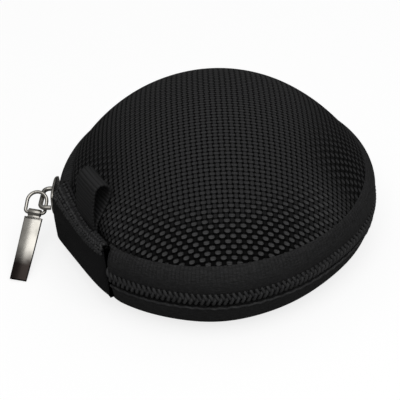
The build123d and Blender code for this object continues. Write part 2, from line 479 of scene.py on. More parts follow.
def handled_metal_group():
    """Fine brushing and small scratches from keys and fingers."""
    n, given, result = new_group(
        "Handled metal", {"Brushing": 5200.0}, {"Lines": "Float", "Scratches": "Float", "Haze": "Float"})
    place = given["Place"]
    stretched = n.add("ShaderNodeMapping")
    n.put(stretched.inputs[0], place)
    stretched.inputs["Scale"].default_value = (1.0, 0.06, 1.0)
    node = n.add("ShaderNodeTexNoise")
    n.put(node.inputs["Vector"], stretched.outputs[0])
    n.put(node.inputs["Scale"], given["Brushing"])
    n.put(result["Lines"], node.outputs["Fac"])
    n.put(result["Scratches"], n.ramp(n.noise(place, 1400.0, 6.0, 0.75), 0.66, 0.74))
    n.put(result["Haze"], n.ramp(n.noise(place, 240.0, 3.0), 0.35, 0.75))
    return bpy.data.node_groups["Handled metal"]


plain_weave = plain_weave_group()
fibres = fibre_group()
ribs = rib_group()
twill = twill_group()
handled_metal = handled_metal_group()


def new_material(name):
    """A new material, its wiring helper and its shader."""
    material = bpy.data.materials.new(name)
    material.use_nodes = True
    n = Nodes(material.node_tree)
    shader = material.node_tree.nodes["Principled BSDF"]
    return material, n, shader


def relief(n, shader, height, distance):
    """Raise the surface by height, which is 0 to 1 for the given distance."""
    node = n.add("ShaderNodeBump")
    node.inputs["Strength"].default_value = 1.0
    node.inputs["Distance"].default_value = distance
    n.put(node.inputs["Height"], height)
    n.put(shader.inputs["Normal"], node.outputs[0])


def grey(value, cool=0.0):
    """A grey, with a little more blue where it is cool."""
    return (value, value, value + cool, 1)


def cloth_shader(shader, specular, sheen, sheen_roughness=0.4):
    """How dull cloth or yarn is all over."""
    shader.inputs["Specular IOR Level"].default_value = specular
    shader.inputs["Sheen Weight"].default_value = sheen
    shader.inputs["Sheen Roughness"].default_value = sheen_roughness
    shader.inputs["Metallic"].default_value = 0.0


def ballistic_nylon():
    """Coarse woven cover. The yarns that run down the dome's sides sink between the others and are darkened
    as painted shade; near the rim the cross yarns are lightened as a painted highlight.
    """
    material, n, shader = new_material("Ballistic nylon")
    place = n.cut_place()
    x, y, _ = n.split(place)
    xx = n.math("MULTIPLY", x, x)
    yy = n.math("MULTIPLY", y, y)
    far = n.math("ADD", xx, yy)
    side = n.ramp(n.math("SQRT", far), 20 * mm, 36 * mm)
    rim = n.ramp(n.math("SQRT", far), 28 * mm, 37 * mm)
    toward_y = n.math("DIVIDE", yy, n.math("MAXIMUM", far, 1e-8))
    sunk_shaded_along = n.math("MULTIPLY", rim, n.ramp(toward_y, 0.35, 0.9))
    sunk_shaded_across = n.math("MULTIPLY", side, n.ramp(toward_y, 0.5, 0.1))
    weave = place_group(n, plain_weave, place, Tight_across=sunk_shaded_across, Tight_along=sunk_shaded_along)
    hair = place_group(n, fibres, n.solid_place())
    # Painted shade and painted highlight: yarns running down the dome's sides are darkened and cross yarns
    # near the rim lightened, in place of the yarns' sheen.
    along_tone = n.mix(sunk_shaded_along, grey(0.038, 0.001), grey(0.002))
    across_tone = n.mix(rim, grey(0.043, 0.001), grey(0.074, 0.001))
    across_tone = n.mix(sunk_shaded_across, across_tone, grey(0.004))
    floats = n.mix(weave["Cross float"], along_tone, across_tone)
    floats = n.mix(n.math("MULTIPLY", hair["Patch"], 0.15), floats, grey(0.034, 0.001))
    # Painted shade: the gaps between the yarns are nearly black.
    colour = n.mix(weave["Gap"], floats, grey(0.0004, 0.0001))
    n.put(shader.inputs["Base Color"], colour)
    rough = n.blend(weave["Cross float"], 0.7, 0.5)
    rough = n.math("ADD", rough, n.math("MULTIPLY", n.math("SUBTRACT", hair["Fuzz"], 0.5), 0.25))
    n.put(shader.inputs["Roughness"], n.blend(weave["Gap"], rough, 1.0))
    height = n.math("ADD", weave["Height"], n.math("MULTIPLY", hair["Fuzz"], 0.10))
    relief(n, shader, height, 0.45 * mm)
    cloth_shader(shader, 0.13, 0.0)
    return material


def zip_tape_cloth():
    """Ribbed zip tape."""
    material, n, shader = new_material("Zip tape")
    place = n.cut_place()
    _, along, _ = n.split(place)
    rib = place_group(n, ribs, place, Pitch=0.00095, Cross_pitch=0.00042, Cross_depth=0.35)
    hair = place_group(n, fibres, n.solid_place())
    rising = n.ramp(along, 4.8 * mm, 6.8 * mm)
    shoulder = n.math("MULTIPLY", rising, n.ramp(along, 9.8 * mm, 10.4 * mm, 1.0, 0.0))
    drawn = n.add("ShaderNodeMapping")
    n.put(drawn.inputs[0], place)
    drawn.inputs["Scale"].default_value = (0.22, 1.0, 1.0)
    crease = n.noise(drawn.outputs[0], 2600.0, 3.0, 0.6)
    # Painted shade: the valleys between the ribs are darkened, most on the shoulder.
    valley = n.math("MULTIPLY", rib["Valley"], n.math("MULTIPLY_ADD", shoulder, 0.38, 0.06))
    colour = n.mix(valley, grey(0.036, 0.001), grey(0.008))
    colour = n.mix(n.math("MULTIPLY", hair["Patch"], 0.35), colour, grey(0.046))
    # Painted shade: the creases are darkened.
    colour = n.mix(n.ramp(crease, 0.32, 0.6, 0.6, 0.0), colour, grey(0.012))
    colour = n.mix(n.ramp(hair["Fuzz"], 0.4, 0.62, 0.5, 0.0), colour, grey(0.014))
    n.put(shader.inputs["Base Color"], colour)
    n.put(shader.inputs["Roughness"], n.math("MULTIPLY_ADD", hair["Fuzz"], 0.25, 0.6))
    ribbed = n.math("MULTIPLY", rib["Height"], n.math("MULTIPLY_ADD", shoulder, 0.7, 0.12))
    rough_skin = n.math("MULTIPLY_ADD", hair["Fuzz"], 0.7, n.math("MULTIPLY", crease, 1.6))
    height = n.math("ADD", ribbed, rough_skin)
    relief(n, shader, height, 0.14 * mm)
    cloth_shader(shader, 0.15, 0.0)
    return material


def yarn_finish(name, fineness, patches, tones, gloss, depth, specular, sheen=0.0):
    """A smooth or twisted yarn, patchy in tone, with fine filaments. Gloss is roughness and its spread."""
    material, n, shader = new_material(name)
    hair = place_group(n, fibres, n.solid_place(), Fineness=fineness, Patches=patches)
    dark, light = tones
    n.put(shader.inputs["Base Color"], n.mix(hair["Patch"], grey(dark, 0.001), grey(light, 0.001)))
    n.put(shader.inputs["Roughness"], n.math("MULTIPLY_ADD", hair["Fuzz"], gloss[1], gloss[0]))
    relief(n, shader, hair["Fuzz"], depth)
    cloth_shader(shader, specular, sheen)
    return material


def hinge_cloth():
    """Twill webbing whose sewn edge shows a coarser weave."""
    material, n, shader = new_material("Hinge webbing")
    place = n.cut_place()
    _, along, _ = n.split(place)
    fine = place_group(n, twill, place, Pitch=0.00055, Slant=1.1)
    coarse = place_group(n, plain_weave, place, Pitch_across=0.00125, Pitch_along=0.00105, Wobble=0.5)
    edge = n.ramp(along, 3.4 * mm, 3.7 * mm, 1.0, 0.0)
    hair = place_group(n, fibres, n.solid_place())
    # Painted shade: the twill's grooves and the gaps of the coarse weave are darkened.
    line = n.math("MULTIPLY", fine["Height"], 0.6)
    cloth = n.mix(line, grey(0.010, 0.0005), grey(0.024, 0.0005))
    lumps = n.mix(coarse["Gap"], grey(0.030, 0.001), grey(0.004))
    colour = n.mix(edge, cloth, lumps)
    n.put(shader.inputs["Base Color"], colour)
    n.put(shader.inputs["Roughness"], n.math("MULTIPLY_ADD", hair["Fuzz"], 0.25, 0.6))
    small = n.math("MULTIPLY_ADD", hair["Fuzz"], 0.25, n.math("MULTIPLY", fine["Height"], 0.3))
    height = n.blend(edge, small, n.math("MULTIPLY", coarse["Height"], 1.6))
    relief(n, shader, height, 0.2 * mm)
    cloth_shader(shader, 0.12, 0.0)
    return material


def grosgrain():
    """Ribbon with ribs across its length."""
    material, n, shader = new_material("Grosgrain ribbon")
    place = n.cut_place()
    x, y, _ = n.split(place)
    turned = n.add("ShaderNodeCombineXYZ")
    n.put(turned.inputs[0], y)
    n.put(turned.inputs[1], x)
    rib = place_group(n, ribs, turned.outputs[0], Pitch=0.00098, Cross_pitch=0.00035, Cross_depth=0.2)
    hair = place_group(n, fibres, n.solid_place())
    # Painted shade: the valleys between the ribs are darkened.
    colour = n.mix(rib["Valley"], grey(0.030, 0.001), grey(0.012))
    colour = n.mix(n.math("MULTIPLY", hair["Patch"], 0.3), colour, grey(0.036))
    n.put(shader.inputs["Base Color"], colour)
    n.put(shader.inputs["Roughness"], n.math("MULTIPLY_ADD", hair["Fuzz"], 0.2, 0.6))
    relief(n, shader, n.math("MULTIPLY_ADD", hair["Fuzz"], 0.2, rib["Height"]), 0.14 * mm)
    cloth_shader(shader, 0.12, 0.0)
    return material


def binding_cloth():
    """Thin plain-woven binding."""
    material, n, shader = new_material("Binding tape")
    place = n.cut_place()
    weave = place_group(n, plain_weave, place, Pitch_across=0.0005, Pitch_along=0.0005, Wobble=0.2)
    hair = place_group(n, fibres, n.solid_place())
    # Painted shade: the gaps between the yarns are darkened.
    colour = n.mix(weave["Gap"], grey(0.014, 0.0005), grey(0.004))
    n.put(shader.inputs["Base Color"], colour)
    n.put(shader.inputs["Roughness"], n.math("MULTIPLY_ADD", hair["Fuzz"], 0.2, 0.62))
    relief(n, shader, weave["Height"], 0.08 * mm)
    cloth_shader(shader, 0.3, 0.05)
    return material


def brushed_lining():
    """Short-napped knit inside."""
    material, n, shader = new_material("Brushed lining")
    hair = place_group(n, fibres, n.solid_place(), Fineness=1500.0, Patches=160.0)
    colour = n.mix(hair["Patch"], grey(0.016, 0.001), grey(0.030, 0.001))
    colour = n.mix(n.math("MULTIPLY", hair["Fuzz"], 0.5), colour, grey(0.010))
    n.put(shader.inputs["Base Color"], colour)
    n.put(shader.inputs["Roughness"], n.math("MULTIPLY_ADD", hair["Fuzz"], 0.15, 0.82))
    relief(n, shader, hair["Fuzz"], 0.25 * mm)
    cloth_shader(shader, 0.15, 0.35, 0.5)
    return material


def closed_foam():
    """Cut edge of closed-cell foam."""
    material, n, shader = new_material("Moulded foam")
    cells = n.add("ShaderNodeTexVoronoi")
    n.put(cells.inputs["Vector"], n.solid_place())
    cells.inputs["Scale"].default_value = 2600.0
    pore = n.ramp(cells.outputs["Distance"], 0.1, 0.6)
    # Painted shade: the hollow of each cell is darkened.
    n.put(shader.inputs["Base Color"], n.mix(pore, grey(0.012), grey(0.035, 0.001)))
    n.put(shader.inputs["Roughness"], n.math("MULTIPLY_ADD", pore, 0.1, 0.8))
    relief(n, shader, pore, 0.08 * mm)
    cloth_shader(shader, 0.25, 0.0)
    return material


def elastic_cloth():
    """Ribbed elastic braid."""
    material, n, shader = new_material("Elastic braid")
    rib = place_group(n, ribs, n.cut_place(), Pitch=0.0007, Cross_pitch=0.0005, Cross_depth=0.5)
    hair = place_group(n, fibres, n.solid_place())
    # Painted shade: the valleys between the ribs are darkened.
    colour = n.mix(rib["Valley"], grey(0.018, 0.001), grey(0.005))
    n.put(shader.inputs["Base Color"], colour)
    n.put(shader.inputs["Roughness"], n.math("MULTIPLY_ADD", hair["Fuzz"], 0.2, 0.6))
    relief(n, shader, rib["Height"], 0.15 * mm)
    cloth_shader(shader, 0.3, 0.1)
    return material


def nickel_plate(name, painted_dark_end=False):
    """Satin nickel, hazy where it is handled. One piece has a painted dark reflection: its colour darkens
    towards its free end.
    """
    material, n, shader = new_material(name)
    worn = place_group(n, handled_metal, n.solid_place())
    colour = n.mix(worn["Haze"], (0.50, 0.48, 0.44, 1), (0.38, 0.365, 0.33, 1))
    colour = n.mix(n.math("MULTIPLY", worn["Scratches"], 0.3), colour, (0.42, 0.41, 0.38, 1))
    # Painted reflection: the tab's colour darkens towards its free end.
    if painted_dark_end:
        along = n.split(n.cut_place())[1]
        along = n.math("ADD", along, n.math("MULTIPLY", n.math("SUBTRACT", worn["Haze"], 0.5), 1.2 * mm))
        colour = n.mix(n.ramp(along, 8.0 * mm, 14.0 * mm), colour, (0.026, 0.021, 0.019, 1))
    n.put(shader.inputs["Base Color"], colour)
    shader.inputs["Metallic"].default_value = 1.0
    rough = n.math("MULTIPLY_ADD", worn["Lines"], 0.12, 0.2)
    n.put(shader.inputs["Roughness"], n.math("MULTIPLY_ADD", worn["Haze"], 0.08, rough))
    relief(n, shader, n.math("SUBTRACT", worn["Lines"], worn["Scratches"]), 0.004 * mm)
    return material


nylon = ballistic_nylon()
tape_cloth = zip_tape_cloth()
coil_plastic = yarn_finish("Coil nylon", 4200.0, 400.0, (0.036, 0.054), (0.52, 0.2), 0.02 * mm, 0.3)
thread = yarn_finish("Sewing thread", 5200.0, 700.0, (0.036, 0.060), (0.5, 0.3), 0.04 * mm, 0.2)
webbing_cloth = hinge_cloth()
ribbon_cloth = grosgrain()
binding = binding_cloth()
lining = brushed_lining()
foam = closed_foam()
net_yarn = yarn_finish("Pocket yarn", 3600.0, 500.0, (0.014, 0.028), (0.55, 0.25), 0.06 * mm, 0.3, 0.1)
elastic = elastic_cloth()
nickel = nickel_plate("Satin nickel")
reflection_painted_nickel = nickel_plate("Nickel with painted reflection", painted_dark_end=True)


# ---------------------------------------------------------------- shells and covers

def dome_line(inset, steps):
    """Radius and height down the dome, from its top to its seam."""
    crown_z = dome_top - crown_radius
    meet = (crown_radius * math.sin(crown_angle), crown_z + crown_radius * math.cos(crown_angle))
    flank_x = meet[0] - flank_radius * math.sin(crown_angle)
    flank_z = meet[1] - flank_radius * math.cos(crown_angle)
    r1 = crown_radius - inset
    r2 = flank_radius - inset
    last = math.acos((lid_seam_z - flank_z) / r2)
    line = []
    for i in range(steps + 1):
        a = last * i / steps
        if a < crown_angle:
            line.append((r1 * math.sin(a), crown_z + r1 * math.cos(a)))
        else:
            line.append((flank_x + r2 * math.sin(a), flank_z + r2 * math.cos(a)))
    return line


def tray_line(inset, steps):
    """Radius and height from the middle of the floor up to the base's seam."""
    reach = seam_radius - floor_radius
    side = (reach ** 2 + base_seam_z ** 2) / (2 * base_seam_z)
    r = side - inset
    last = math.acos((side - base_seam_z) / r)
    flat = [(floor_radius * i / 10, inset) for i in range(10)]
    bend = []
    for i in range(steps + 1):
        a = last * i / steps
        bend.append((floor_radius + r * math.sin(a), side - r * math.cos(a)))
    return flat + bend


def turned_dish(name, line, material, rounding=2.0 * mm, lean=0.0, swollen=True):
    """A dish or dome from its line, with the cloth's grain running across it."""
    stations = 240
    stretch = 0.4
    run = lengths([(r, z, 0) for r, z in line])
    points = []
    layout = []
    for (r, z), s in zip(line, run):
        flat_r = r + stretch * (s - r)
        for k in range(stations):
            a = turn * k / stations
            points.append(around(r, z, a, rounding, swollen, 1.0 if lean else 0.0) + lean_side * lean)
            layout.append((flat_r * math.cos(a - grain_angle), flat_r * math.sin(a - grain_angle)))
    faces = rows_to_faces(len(line), stations, close_across=True)
    return build(name, points, faces, material, layout)


def tucked_edge(radius, height, side):
    """The skin's edge, turned in behind the seam."""
    return [(radius - inward * mm, height + side * past * mm)
            for inward, past in ((0.05, 0.22), (0.5, 0.38), (1.4, 0.3))]


def lid_shells():
    """The lid's skin and lining."""
    outside = dome_line(0, 70)
    r, z = outside[-1]
    cover = turned_dish("dome_cover", outside + tucked_edge(r, z, -1), nylon)
    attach(cover, "lid")
    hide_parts("lid_cover")
    line = dome_line(shell_depth, 50)[::-1]
    inside = turned_dish("dome_lining", line, lining, rounding=1.2 * mm, swollen=False)
    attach(inside, "lid")
    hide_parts("lid_lining")


def base_shells():
    """The base's skin and lining, and the foam between them in both halves."""
    outside = tray_line(0, 14)
    r, z = outside[-1]
    line = (outside + tucked_edge(r, z, 1))[::-1]
    cover = turned_dish("base_skin", line, nylon, lean=0.5 * base_lean)
    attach(cover, "base")
    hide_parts("base_cover")
    line = tray_line(shell_depth, 12)
    inside = turned_dish("tray_lining", line, lining, rounding=1.2 * mm, swollen=False)
    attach(inside, "base")
    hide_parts("base_lining")
    for node in ("lid_foam_shell", "base_foam_shell"):
        for slot in frame["nodes"][node].material_slots:
            slot.material = foam


# ---------------------------------------------------------------- zip

# Sections of the two tapes: radius, and height from the zip's mid-line, in mm
upper_front = [(38.75, 0.5), (38.85, 1.2), (39.3, 1.35), (39.9, 1.4), (40.25, 1.8), (40.36, 2.8),
               (40.28, 4.2), (39.9, 5.5), (39.3, 6.6), (38.5, 7.35), (37.7, 7.7), (36.6, 7.6), (35.6, 7.5)]
upper_back = [(35.6, 7.05), (37.3, 7.05), (38.2, 6.4), (38.9, 5.0), (39.1, 3.6), (38.6, 2.4), (38.1, 0.5)]
lower_front = [(38.7, 0.5), (38.75, 2.3), (39.1, 2.85), (39.7, 2.95), (39.9, 3.2), (39.85, 3.7),
               (39.6, 4.7), (39.3, 5.8), (38.9, 7.0), (38.3, 8.2), (37.7, 9.0), (37.1, 9.4), (36.6, 9.3)]
lower_back = [(36.9, 8.6), (37.2, 7.7), (35.6, 7.5), (35.6, 7.05), (37.8, 7.0), (38.6, 5.6), (38.75, 4.4),
              (38.2, 2.7), (38.05, 0.5)]

# One turn of the coil: radius and height in mm, and its shift along the zip in pitches
coil_shape = [(39.2, 1.8, -0.40), (39.75, 1.6, -0.34), (40.12, 1.15, -0.22), (40.24, 0.55, -0.02),
              (40.12, 0.0, 0.16), (39.8, -0.2, 0.24), (39.4, -0.1, 0.25), (39.12, 0.5, 0.30),
              (39.05, 1.4, 0.45), (39.1, 1.8, 0.55)]


def tape_line(front, back, side):
    """Section of one tape: behind the coil, over the bulging band and into the seam."""
    line = curve_through(front, 3) + curve_through(back, 2)
    section = [(r * mm, chain_z + side * z * mm) for r, z in line]
    return section if side > 0 else section[::-1]


def zip_tapes():
    """The two woven tapes, and the folded edge that stands under the coil."""
    stations = 420
    upper_line = tape_line(upper_front, upper_back, 1)
    upper = band("lid_tape_band", upper_line, zip_finish, zip_start, stations, tape_cloth, tape_tuck)
    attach(upper, "lid")
    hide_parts("lid_zip_tape", "lid_zip_tape_ends")
    lower_line = tape_line(lower_front, lower_back, -1)
    lower = band("base_tape_band", lower_line, zip_finish, zip_start, stations, tape_cloth, tape_tuck,
                 lean=base_lean)
    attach(lower, "base")
    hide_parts("base_zip_tape")
    edge = []
    last = 1399
    for i in range(last + 1):
        angle = zip_finish + (zip_start - zip_finish) * (0.004 + 0.992 * i / last)
        wave = 0.11 * mm * math.cos(turn * angle * belt_radius / (2 * coil_pitch))
        edge.append(around(ridge_radius, chain_z - ridge_drop + wave, angle))
    cord = rods("folded_edge", [edge], 0.3 * mm, thread, sides=8)
    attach(cord, "base")


def coil_loop(angle, side):
    """One turn of the coil: out from the sewn edge to the meshing head, and back behind."""
    path = []
    for r, rise, shift in curve_through(coil_shape, 2):
        a = angle + shift * coil_pitch / belt_radius
        path.append(around(r * mm, chain_z + side * rise * mm, a))
    return path


def zip_coils():
    """Both coils, each with its filler cord and the stitches that hold it to its tape."""
    count = int((zip_start - zip_finish) * belt_radius / coil_pitch) - 1
    for side, name, body, nodes in ((1, "upper_coil", "lid", ("lid_coil", "lid_coil_ends")),
                                    (-1, "lower_coil", "base", ("base_coil",))):
        half = 0.5 if side < 0 else 0.0
        angles = [zip_finish + (i + 0.7 + half) * coil_pitch / belt_radius for i in range(count)]
        coil = rods(name, [coil_loop(a, side) for a in angles], coil_wire, coil_plastic, sides=7)
        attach(coil, body)
        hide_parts(*nodes)
        core = []
        for i in range(700):
            a = angles[0] + (angles[-1] - angles[0]) * i / 699
            core.append(around(39.5 * mm, chain_z + side * 0.85 * mm, a))
        filler = rods(name + "_core", [core], core_wire, thread, sides=8)
        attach(filler, body)
        step = coil_pitch / belt_radius
        stitches = []
        for a in angles:
            low = around(38.85 * mm, chain_z + side * 1.95 * mm, a - 0.42 * step)
            top = around(39.1 * mm, chain_z + side * 2.15 * mm, a)
            end = around(38.85 * mm, chain_z + side * 2.35 * mm, a + 0.42 * step)
            stitches.append([low, top, end])
        seam = rods(name + "_stitches", stitches, 0.2 * mm, thread, sides=5)
        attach(seam, body)


# ---------------------------------------------------------------- hinge, loop and bindings

# Section of the webbing: distance towards the back, and height from the zip's mid-line, in mm
webbing_outer = [(36.3, 8.55), (37.1, 8.75), (37.9, 8.3), (38.35, 7.2), (38.45, 5.6), (38.35, 4.4),
                 (38.4, 2.5), (38.45, 0.0), (38.4, -2.5), (38.35, -4.5), (38.25, -6.2), (37.8, -7.2),
                 (37.2, -7.6), (36.6, -7.5)]
webbing_inner = [(36.6, -7.0), (37.1, -6.9), (37.55, -5.5), (37.7, -2.5), (37.7, 2.5), (37.55, 5.5),
                 (37.1, 7.2), (36.6, 8.0)]
stitch_rows = ((8.5, 37.45), (8.05, 38.05), (7.4, 38.4), (6.75, 38.52), (6.1, 38.58))


def bend_over_hinge(piece):
    """Cloth that crosses the hinge: its placement is baked into its mesh, and it rides on neither base nor
    lid.
    """
    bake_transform(piece)


def webbing_shoulder(place, z):
    """How far, in mm, the webbing's upper part leans in and rises, more so towards the slider."""
    up = max(0.0, (z - 4.0) / 4.6)
    side = max(0.0, (place + 0.45) / 1.45) ** 1.3
    return 2.6 * side * up ** 1.3, 0.7 * side * up


def webbing_proud(place):
    """How far the webbing bulges, in mm, from its far end (-1) to the one beside the slider (1)."""
    return 0.7 * (1 - place ** 2) ** 0.5 + 0.45 * max(0.0, place) ** 2 - 0.5 * max(0.0, -place) ** 4


def hinge_spine():
    """Folded webbing at the back, from the lid's seam to the base's."""
    across = 84
    line = curve_through(webbing_outer, 3) + curve_through(webbing_inner, 2)
    run = lengths([(y, z, 0) for y, z in line])
    points = []
    layout = []
    for i in range(across + 1):
        x = -webbing_half + 2 * webbing_half * i / across
        edge = max(0.0, 1 - (webbing_half - abs(x)) / (0.7 * mm))
        for (y, z), v in zip(line, run):
            middle = 37.9 if y > 37 else y
            thin = 1 - 0.85 * (1 - math.sqrt(max(0.0, 1 - edge * edge)))
            reach = middle + (y - middle) * thin - 0.25 * edge ** 2
            proud = webbing_proud(x / webbing_half) if y > 37.75 else 0.0
            inward, raised = webbing_shoulder(x / webbing_half, z)
            back = (reach + proud - inward) * mm
            points.append(Vector((webbing_centre + x, back, chain_z + (z + raised) * mm)))
            layout.append((x, v * mm))
    faces = rows_to_faces(across + 1, len(line), close_across=True)
    count = len(line)
    faces.append(tuple(range(count))[::-1])
    faces.append(tuple(range(across * count, (across + 1) * count)))
    spine = build("hinge_spine", points, faces, webbing_cloth, layout)
    bend_over_hinge(spine)
    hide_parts("hinge_webbing")


def hinge_stitching():
    """Rows of short thick stitches over the webbing's sewn edge."""
    overcast = []
    sunk = Vector((0, -0.3 * mm, 0))
    for row, (rise, reach) in enumerate(stitch_rows):
        x = webbing_low.x + (0.55 + 0.4 * (row % 2)) * mm
        while x < webbing_high.x - 0.5 * mm:
            place = (x - webbing_centre) / webbing_half
            tilt = random.uniform(-0.6, 0.6) + (0.7 if row % 2 else -0.7)
            swing = Vector((math.cos(tilt), 0, math.sin(tilt))) * random.uniform(0.25, 0.45) * mm
            proud = webbing_proud(place) if row else 0.5 * webbing_proud(place)
            inward, raised = webbing_shoulder(place, rise)
            height = rise + raised + random.uniform(-0.15, 0.15)
            middle = Vector((x, (reach + proud - inward) * mm, chain_z + height * mm))
            left = middle - swing
            right = middle + swing
            overcast.append([left + sunk, middle - swing * 0.4, middle + swing * 0.4, right + sunk])
            x += random.uniform(0.85, 1.1) * mm
    bumps = rods("hinge_overcast_edge", overcast, 0.38 * mm, thread, up=Vector((0, 1, 0)))
    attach(bumps, "lid")


def hinge_inside():
    """Thin strip over the hinge, inside."""
    section = [(34.6, -7.2), (35.3, -6.2), (35.6, -3.0), (35.7, 0.0), (35.6, 3.0), (35.3, 6.2), (34.6, 7.2)]
    line = curve_through(section, 5)
    run = lengths([(y, z, 0) for y, z in line])
    points = []
    layout = []
    columns = 25
    for i in range(columns):
        x = -strip_half + 2 * strip_half * i / (columns - 1)
        for (y, z), v in zip(line, run):
            points.append(Vector((x, y * mm, chain_z + z * mm)))
            layout.append((x, v * mm))
    strip = build("hinge_inner_strip", points, rows_to_faces(columns, len(line)), binding, layout)
    thicken(strip, 0.4 * mm)
    bend_over_hinge(strip)
    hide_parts("hinge_lining")


def ribbon_line():
    """Height and reach of the folded ribbon, from one end in the seam round to the other."""
    up = [(36.7, 19.0), (36.8, 20.6), (36.85, 23.0), (36.5, 26.8), (35.85, 30.2), (35.1, 32.0)]
    over = [(33.6, 32.7), (32.1, 32.0), (31.5, 30.4)]
    down = [(32.4, 27.8), (34.3, 24.9), (35.9, 22.4), (36.35, 20.4), (36.45, 19.0)]
    return curve_through(up + over + down, 5)


def loop_of_ribbon():
    """Grosgrain ribbon folded over and sewn into the lid's seam, leaning on the dome."""
    line = ribbon_line()
    half = ribbon_width / 2
    centre = loop_low.x + half - 0.1 * mm
    run = lengths([(y, z, 0) for y, z in line])
    across = 18
    points = []
    layout = []
    for i in range(across + 1):
        s = 2 * i / across - 1
        for (y, z), v in zip(line, run):
            up = max(0.0, (z - 20.0) / 12.0)
            x = centre + s * (half - 0.1 * mm * up)
            points.append(Vector((x, (y - 0.10 * s * s * up) * mm, (z + 0.07 * up * s) * mm)))
            layout.append((s * half, v * mm))
    ribbon = build("ribbon_loop", points, rows_to_faces(across + 1, len(line)), ribbon_cloth, layout)
    thicken(ribbon, ribbon_depth)
    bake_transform(ribbon)
    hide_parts("hang_loop")


def bindings():
    """Binding over the seam allowances inside lid and base, drawn in at the hinge."""
    drawn_in = 1.9 * mm
    stations = 260
    shape = [(34.4, 7.0), (35.2, 7.05), (36.2, 7.0), (36.75, 6.6), (36.8, 6.1), (36.6, 5.6), (36.0, 5.35),
             (35.2, 5.3), (34.5, 5.55), (34.2, 6.1), (34.2, 6.7)]
    for side, name, body, node in ((1, "lid_edge_binding", "lid", "lid_binding"),
                                   (-1, "base_edge_binding", "base", "base_binding")):
        section = [(r * mm, chain_z + side * z * mm) for r, z in curve_through(shape, 2)]
        if side < 0:
            section = section[::-1]
        ring = []
        layout = []
        run = lengths([(r, z, 0) for r, z in section])
        for i in range(stations):
            a = turn * i / stations
            for (r, z), v in zip(section, run):
                s = math.sin(a)
                reach = soft_min(r, (r - drawn_in) / s, 1.0 * mm) if s > 0.5 else r
                ring.append(Vector((reach * math.cos(a), reach * math.sin(a), z)))
                layout.append((a * belt_radius, v))
        faces = rows_to_faces(stations, len(section), close_rows=True, close_across=True)
        piece = build(name, ring, faces, binding, layout)
        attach(piece, body)
        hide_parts(node)


# ---------------------------------------------------------------- pocket

def net_pocket():
    """Knitted net, its holes six-sided, over the hinge side of the lid's hollow."""
    radius = mesh_high.x - 0.1 * mm
    edge_y = mesh_low.y
    top_y = mesh_high.y
    level = (mesh_low.z + mesh_high.z) / 2
    margin = 0.6 * mm
    corner = 0.577 * net_cell
    made = bmesh.new()
    row_step = net_cell * math.sqrt(3) / 2
    rows = int((top_y - edge_y) / row_step)
    count = int(2 * radius / net_cell)
    for j in range(rows + 1):
        y = edge_y + (j + 0.5) * row_step
        for i in range(-count // 2, count // 2 + 1):
            x = (i + (0.5 if j % 2 else 0.0)) * net_cell
            if math.hypot(x, y) > radius - margin or y > top_y - margin:
                continue
            hexagon = []
            for k in range(6):
                a = turn * (k + 0.5) / 6
                hexagon.append(made.verts.new((x + corner * math.cos(a), y + corner * math.sin(a), 0)))
            made.faces.new(hexagon)
    bmesh.ops.remove_doubles(made, verts=made.verts, dist=0.02 * mm)
    whole = list(made.faces)
    bmesh.ops.inset_individual(made, faces=whole, thickness=0.2 * mm)
    bmesh.ops.delete(made, geom=whole, context="FACES_ONLY")
    for v in made.verts:
        span = max(0.0, 1 - (v.co.x ** 2 + (v.co.y - 10 * mm) ** 2) / (30 * mm) ** 2)
        v.co.z = level + 0.9 * mm * span
    mesh = bpy.data.meshes.new("pocket_net")
    made.to_mesh(mesh)
    made.free()
    mesh.materials.append(net_yarn)
    mesh.shade_smooth()
    net = new_object("pocket_net", mesh)
    thicken(net, net_yarn_width)
    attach(net, "lid")
    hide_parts("lid_pocket_mesh")


def pocket_edge():
    """Elastic braid sewn along the pocket's free edge."""
    half = elastic_high.x - 0.2 * mm
    middle = (elastic_low.y + elastic_high.y) / 2
    level = (elastic_low.z + elastic_high.z) / 2
    section = [(1.5, 0.0), (1.4, 0.3), (1.0, 0.42), (0, 0.45), (-1.0, 0.42), (-1.4, 0.3), (-1.5, 0.0),
               (-1.4, -0.3), (-1.0, -0.42), (0, -0.45), (1.0, -0.42), (1.4, -0.3)]
    stations = 240
    points = []
    layout = []
    for i in range(stations + 1):
        t = 2 * i / stations - 1
        x = half * t
        ripple = 0.08 * math.sin(2.0 * x / mm)
        for k, (y, z) in enumerate(section):
            points.append(Vector((x, middle + y * mm, level + (z + ripple + 0.5 * (1 - t * t)) * mm)))
            layout.append((x, k * 0.5 * mm))
    faces = rows_to_faces(stations + 1, len(section), close_across=True)
    faces += end_faces(stations + 1, len(section))
    strip = build("pocket_elastic_edge", points, faces, elastic, layout)
    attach(strip, "lid")
    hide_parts("pocket_elastic")


# ---------------------------------------------------------------- slider and pull

def slider_frame():
    """Turns the slider's own axes (X outward, Y toward the hinge, Z up) into the frame's."""
    return Matrix.Translation((0, 0, chain_z)) @ Matrix.Rotation(slider_angle, 4, "Z")


# Outline of the slider's plates, in its own Y and Z, in mm
plate_corners = [(-5.9, 0.8), (-5.5, -1.0), (-3.0, -2.3), (0.0, -2.6), (2.4, -2.6), (4.2, -2.0),
                 (4.9, -0.8), (5.0, 0.8), (4.9, 2.4), (4.2, 3.7), (2.4, 4.4), (0.0, 4.4), (-3.0, 4.2),
                 (-5.5, 2.9), (-5.9, 0.8)]


